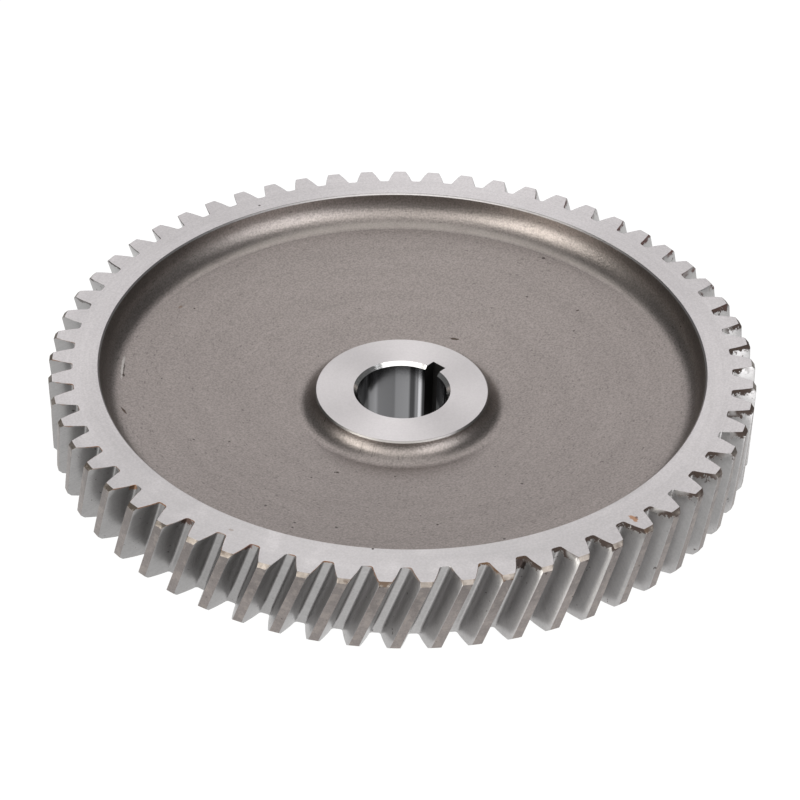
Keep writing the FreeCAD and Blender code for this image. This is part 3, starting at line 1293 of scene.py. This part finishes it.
@dataclass(frozen=True)
class ToothFinish(SteelFinish):
    """Steel of the teeth, stained, flecked, rusty under the rim's upper edge and darkened on one
    side by painted shade.
    """

    rusts: tuple = (
        Rust((0.19, 0.095, 0.05), 0.35 * MM, 0.47, -100.0, 85.0),
        Rust((0.13, 0.075, 0.04), 1.0 * MM, 0.44, -25.0, 62.0),
        Rust((0.045, 0.03, 0.024), 1.6 * MM, 0.56, -22.0, 50.0),
        Rust((0.09, 0.045, 0.04), 1.2 * MM, 0.58, 42.0, 24.0),
        Rust((0.05, 0.04, 0.038), 0.8 * MM, 0.56, 140.0, 28.0),
    )
    rust_roughness: float = 0.3
    rust_cover: float = 0.8
    rust_soft: float = 0.06
    stain: tuple = (0.37, 0.33, 0.30)
    stain_amount: float = 0.0
    stain_scale: float = 420.0
    # painted shade: the teeth on one side darkened to this share, for how the light falls there
    painted_side_shade: float = 0.72
    painted_shade_angle: float = -158.0
    painted_shade_reach: float = 52.0
    painted_shade_soft: float = 0.3
    upper_tone: float = 1.0
    upper_levels: tuple = (27 * MM, 35 * MM)
    upper_uneven: float = 14 * MM
    upper_scale: float = 180.0
    fleck: tuple = (0.07, 0.055, 0.05)
    fleck_levels: tuple = (0.685, 0.715)
    fleck_depth: float = 0.75
    fleck_scale: float = 620.0

    def wear(self, surface: Surface, color: Value, rough: Value) -> tuple:
        """Add painted shade on one side, the darker upper part, stains, flecks and rust.

        Args:
            surface: the material's graph.
            color: the steel's colour.
            rough: its roughness.

        Returns:
            The colour, the roughness and how metallic the surface is.
        """
        # painted shade on one side of the teeth
        side = surface.side(self.painted_shade_angle, self.painted_shade_reach, self.painted_shade_soft)
        height = surface.split(surface.position)[2]
        level = surface.linear(surface.uneven(self.upper_scale), self.upper_uneven, height)
        upper = surface.ramp(level, *self.upper_levels, 1.0, self.upper_tone)
        tone = surface.linear(side, self.painted_side_shade - 1.0, 1.0)
        color = surface.vector("SCALE", color, surface.times(tone, upper))
        if self.stain_amount:
            stained = surface.ramp(surface.uneven(self.stain_scale), 0.5, 0.62)
            color = surface.paint(stained, self.stain_amount, color, self.stain)
        flecks = surface.uneven(self.fleck_scale)
        flecked = surface.ramp(flecks, *self.fleck_levels, 0.0, self.fleck_depth)
        color = surface.mix(flecked, color, self.fleck)
        metal = 1.0
        for rust in self.rusts:
            edge = surface.effect(
                surface.effects.rust,
                Level=GearSizes.rim_top,
                Depth=rust.depth,
                Amount=rust.amount,
            )[0]
            mask = surface.times(edge, surface.side(rust.side, rust.reach, self.rust_soft))
            color = surface.mix(mask, color, rust.color)
            rough = surface.linear(mask, self.rust_roughness, rough)
            metal = surface.times(metal, surface.linear(mask, -self.rust_cover, 1.0))
        return color, rough, metal


@dataclass(frozen=True)
class BoreFinish(SteelFinish):
    """The bore's polished wall, with painted reflections: light and dark bands by angle along it.
    """

    # painted reflections: tone of the wall at each angle from the camera's right, in degrees
    bands: tuple = (
        (-180.0, 0.05), (-90.0, 0.03), (58.0, 0.03), (63.0, 0.05), (64.0, 0.60), (67.5, 0.62),
        (68.5, 0.24), (72.0, 0.22), (73.5, 0.06), (79.0, 0.07), (81.0, 0.26), (98.0, 0.23),
        (100.0, 0.15), (122.0, 0.17), (126.0, 0.28), (136.0, 0.20), (141.0, 0.05), (180.0, 0.05),
    )
    blue: float = 1.03
    mouth: float = GearSizes.hub_length - GearSizes.bore_chamfer
    mouth_soft: float = 0.05 * MM

    def wear(self, surface: Surface, color: Value, rough: Value) -> tuple:
        """Tone the wall by its angle about the axis with painted reflection bands, between its
        chamfers.

        Args:
            surface: the material's graph.
            color: the steel's colour.
            rough: its roughness.

        Returns:
            The colour, the roughness and how metallic the surface is.
        """
        # painted reflection bands by angle
        angle = surface.photo_angle(surface.position)
        share = surface.linear(surface.math("WRAP", angle, math.pi, -math.pi), 0.5 / math.pi, 0.5)
        ramp = surface.add("ShaderNodeValToRGB", Fac=share)
        points = ramp.color_ramp.elements
        for place, _ in self.bands[1:-1]:
            points.new((place + 180) / 360)
        for point, (_, tone) in zip(points, self.bands):
            point.color = (tone, tone, tone * self.blue, 1.0)
        height = surface.split(surface.position)[2]
        low, high = self.mouth - self.mouth_soft, self.mouth + self.mouth_soft
        chamfer = surface.ramp(height, low, high)
        return surface.mix(chamfer, ramp.outputs[0], color), rough, 1.0


# Studio


@dataclass(frozen=True)
class Camera:
    """The photograph's view: a perspective fitted to the gear's outline.

    Focal length, frame size and centre are in pixels, and the distance is in units. The turn is in
    degrees, and elevation and roll are in radians.
    """

    turn: float = -49.0
    focal: float = 2488.14
    frame_size: float = 800.0
    distance: float = 8.1986
    unit: float = 83.474 * MM
    level: float = 34.05 * MM
    elevation: float = 0.63894
    roll: float = -0.0221
    centre: tuple = (402.361, 353.326)

    def build(self) -> None:
        """Place the camera."""
        middle = self.frame_size / 2
        step = self.distance / self.focal
        x = (self.centre[0] - middle + 0.5) * step
        y = -(self.centre[1] - middle + 0.5) * step
        cosine, sine = math.cos(self.roll), math.sin(self.roll)
        right = Vector((1, 0, 0))
        up = Vector((0, math.sin(self.elevation), math.cos(self.elevation)))
        ahead = Vector((0, math.cos(self.elevation), -math.sin(self.elevation)))
        across, along = cosine * x + sine * y, -sine * x + cosine * y
        place = -(across * right + along * up + self.distance * ahead) * self.unit
        axes = (cosine * right - sine * up, sine * right + cosine * up, -ahead)
        turn = Matrix.Rotation(math.radians(self.turn), 3, "Z")
        pose = Matrix([turn @ axis for axis in axes]).transposed().to_4x4()
        pose.translation = turn @ place + Vector((0, 0, self.level))
        data = bpy.data.cameras.new("photo_view")
        data.sensor_width = 36.0
        data.sensor_fit = "HORIZONTAL"
        data.lens = self.focal * data.sensor_width / self.frame_size
        data.clip_start, data.clip_end = 0.01, 50.0
        camera = bpy.data.objects.new("photo_view", data)
        bpy.context.scene.collection.objects.link(camera)
        camera.matrix_world = pose
        bpy.context.scene.camera = camera


@dataclass(frozen=True)
class Softbox:
    """A rectangular lamp that faces the gear.

    The angle counts from the camera's right, counterclockwise from above, so 90 lies behind the
    gear. The radiance is what the lamp shows in a mirror.
    """

    name: str
    angle: float
    elevation: float
    distance: float
    size: tuple
    radiance: float
    color: tuple = (1.0, 1.0, 1.0)
    aim: float = 20 * MM

    def build(self) -> None:
        """Place the lamp."""
        data = bpy.data.lights.new(self.name, "AREA")
        data.shape = "RECTANGLE"
        data.size, data.size_y = self.size
        data.energy = self.radiance * math.pi * self.size[0] * self.size[1]
        data.color = self.color
        lamp = bpy.data.objects.new(self.name, data)
        bpy.context.scene.collection.objects.link(lamp)
        rise = math.radians(self.elevation)
        flat = Vector(from_photo_angle(self.angle)) * math.cos(rise)
        toward = flat + Vector((0, 0, math.sin(rise)))
        lamp.matrix_world = toward.to_track_quat("Z", "Y").to_matrix().to_4x4()
        lamp.location = Vector((0, 0, self.aim)) + toward * self.distance


@dataclass
class Studio:
    """White floor, soft lamps and a plain grey room."""

    room: float = 0.15
    floor_size: float = 16.0
    floor_glow: float = 0.96
    floor_color: float = 0.10
    lamps: tuple = (
        Softbox("back_box", 90, 36, 1.2, (1.1, 1.1), 1.05, (1.0, 0.975, 0.985)),
        Softbox("top_box", 90, 80, 0.9, (0.72, 0.8), 1.2, (1.0, 0.99, 0.98)),
        Softbox("front_box", -88, 46, 1.0, (1.4, 0.72), 1.75, (1.0, 0.985, 0.955)),
        Softbox("key_box", -145, 22, 1.0, (0.52, 0.85), 5.0, (1.0, 0.975, 0.92)),
        Softbox("fill_box", -40, 22, 1.0, (0.65, 0.8), 3.0, (0.99, 0.99, 1.0)),
    )

    def build(self) -> None:
        """Build floor, room and lamps."""
        self.build_floor()
        self.build_room()
        for lamp in self.lamps:
            lamp.build()
        bpy.context.scene.view_settings.view_transform = "Standard"

    def build_floor(self) -> None:
        """Lay a large white floor that shows as white and keeps a faint shadow."""
        start_clean()
        bpy.ops.mesh.primitive_plane_add(size=self.floor_size, location=(0, 0, 0))
        floor = bpy.context.object
        floor.name = "floor"
        material = bpy.data.materials.new("white_floor")
        graph = Graph(emptied(material))
        color = (self.floor_color,) * 3 + (1.0,)
        diffuse = graph.add("ShaderNodeBsdfDiffuse", Color=color)
        glow = graph.add("ShaderNodeEmission", Strength=self.floor_glow)
        both = graph.add("ShaderNodeAddShader")
        graph.put(both.inputs[0], diffuse.outputs[0])
        graph.put(both.inputs[1], glow.outputs[0])
        output = graph.add("ShaderNodeOutputMaterial")
        graph.put(output.inputs["Surface"], both.outputs[0])
        floor.data.materials.append(material)

    def build_room(self) -> None:
        """Fill the room with plain grey light."""
        world = bpy.data.worlds.new("room")
        bpy.context.scene.world = world
        graph = Graph(emptied(world))
        back = graph.add("ShaderNodeBackground", Strength=self.room)
        output = graph.add("ShaderNodeOutputWorld")
        graph.put(output.inputs["Surface"], back.outputs[0])


# Looks

WEB_MARKS = (
    Mark(64.0, 33.7, 0.42, 1.8, 10.0, (0.05, 0.035, 0.025)),
    Mark(-116.4, 37.9, 0.42, 1.1),
    Mark(-122.1, 44.5, 0.25),
    Mark(-92.3, 34.5, 0.28),
    Mark(37.8, 63.9, 0.26, 1.3, 60.0),
    Mark(-80.5, 60.0, 0.34),
    Mark(-69.6, 74.5, 0.36, 1.2),
    Mark(-113.4, 69.1, 0.3),
    Mark(-152.2, 52.4, 0.25),
    Mark(151.9, 73.0, 0.4, 1.4, 0.0, (0.16, 0.11, 0.075), 0.7),
    Mark(150.2, 69.6, 0.28),
    Mark(177.6, 77.9, 0.5, 3.2, 4.0, (0.45, 0.43, 0.41), 0.8),
    Mark(177.9, 77.5, 0.2, 4.0, 4.0),
    Mark(-179.6, 77.2, 0.42, 1.2),
    Mark(-167.5, 77.4, 0.38, 2.0, 25.0, (0.05, 0.03, 0.02)),
)
RIM_MARKS = (
    Mark(120.4, 86.6, 0.3, 1.0),
    Mark(-49.5, 91.2, 0.72, 1.4, 90.0, (0.33, 0.17, 0.08), 0.85),
    Mark(-49.0, 91.4, 0.32, 1.2, 40.0, (0.10, 0.05, 0.03), 0.8),
    Mark(-94.4, 83.7, 0.3, 1.2, 90.0),
    Mark(-118.5, 88.0, 0.35, 1.4, 0.0, (0.25, 0.2, 0.16), 0.5),
)
FLANK_MARKS = (
    Mark(-138.9, 90.6, 1.3, 1.0, 0.0, (0.30, 0.15, 0.07), 0.8, 0.6),
    Mark(-126.0, 91.0, 1.4, 1.0, 0.0, (0.09, 0.045, 0.03), 0.85, 0.9),
    Mark(-114.2, 91.2, 1.1, 1.0, 0.0, (0.16, 0.07, 0.05), 0.8, 0.6),
    Mark(-70.6, 90.6, 1.5, 1.0, 0.0, (0.05, 0.03, 0.025), 0.9, 2.0),
    Mark(-83.0, 91.6, 0.9, 1.0, 0.0, (0.08, 0.05, 0.04), 0.8, 2.0),
    Mark(-94.1, 89.9, 0.6, 1.0, 0.0, (0.04, 0.025, 0.03), 0.9, 21.0),
)
FINISHES = {
    Region.RIM_FACE: SteelFinish(
        "rim_face_steel", (0.522, 0.507, 0.508), 0.34, rings=1800.0, ring_tone=0.10,
        mottle_tone=0.1, grain_tone=0.07, painted_sheen_tone=0.12, marks=RIM_MARKS,
        painted_lines=(
            # painted shade: dark line along the far edge of the recess, where its wall lies in
            # shade
            PaintedLine(83.5, 0.16, (0.09, 0.08, 0.08), 0.75, 90.0, 100.0),
            # painted shade: the front of the rim's face darker
            PaintedLine(90.0, 60.0, (0.33, 0.325, 0.325), 0.38, -102.0, 44.0),
        ),
    ),
    Region.FLANK: ToothFinish(
        "flank_steel", (0.42, 0.412, 0.41), 0.32, grain_tone=0.05, marks=FLANK_MARKS
    ),
    Region.TIP_LAND: ToothFinish(
        "tip_steel", (0.255, 0.23, 0.22), 0.42, mottle_tone=0.2, broad=200.0,
        stain_amount=0.3, painted_side_shade=0.92, upper_tone=0.8,
    ),
    Region.TIP_CHAMFER: ToothFinish(
        "chamfer_steel", (0.275, 0.245, 0.22), 0.45, mottle_tone=0.3, broad=400.0,
        stain_amount=0.5, painted_side_shade=0.9,
        rusts=(
            Rust((0.12, 0.08, 0.055), 1.1 * MM, 0.36, -110.0, 90.0),
            Rust((0.06, 0.048, 0.038), 1.2 * MM, 0.50, -160.0, 36.0),
            Rust((0.045, 0.03, 0.024), 1.3 * MM, 0.52, -14.0, 34.0),
        ),
    ),
    Region.WEB: WebFinish(
        "web_steel", (0.265, 0.239, 0.226), 0.37, rings=1500.0, ring_tone=0.07,
        grain_tone=0.17, grain_bump=1.0, marks=WEB_MARKS,
        painted_lines=(
            # painted highlight: light band on the far side of the rim's fillet
            PaintedLine(78.7, 2.0, (0.40, 0.37, 0.34), 0.42, 88.0, 58.0),
            # painted shade: dark line at the foot of the far fillet
            PaintedLine(77.1, 0.45, (0.14, 0.125, 0.12), 0.32, 96.0, 58.0),
        ),
    ),
    Region.HUB_FACE: SteelFinish(
        "hub_face_steel", (0.52, 0.505, 0.505), 0.30, rings=3500.0, ring_tone=0.03,
        ring_bump=0.04, band_tone=0.03, grain_tone=0.03, painted_sheen_tone=0.15,
        painted_lines=(
            # painted shade: darker bevel and edge line at the front of the hub's face
            PaintedLine(24.07, 0.5, (0.22, 0.21, 0.20), 0.8, -90.0, 110.0),
            PaintedLine(23.84, 0.12, (0.09, 0.085, 0.08), 0.6, -80.0, 80.0),
        ),
    ),
    Region.BORE: BoreFinish("bore_steel", (0.75, 0.75, 0.75), 0.16),
    # painted shade: the keyway's near-black colour stands in for the shade inside the slot
    Region.KEYWAY: SteelFinish("keyway_steel", (0.045, 0.043, 0.042), 0.5),
    Region.BACK: SteelFinish("back_steel", (0.42, 0.41, 0.405), 0.38),
}


def dress(gear: bpy.types.Object) -> None:
    """Give each region of the gear its finish.

    Args:
        gear: the gear's mesh.
    """
    effects = Effects()
    for region in Region:
        gear.data.materials.append(FINISHES[region].material(effects))


def main() -> None:
    """Build the gear, dress it and set the studio."""
    logging.basicConfig(level=logging.INFO, format="%(name)s: %(message)s")
    Camera().build()
    Studio().build()
    gear = PinionGear().build()
    dress(gear)
    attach(gear, BODY)
    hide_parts(NODE)
    mesh = gear.data
    log.info("%s: %d faces, %d vertices", gear.name, len(mesh.polygons), len(mesh.vertices))


if __name__ == "__main__":
    main()
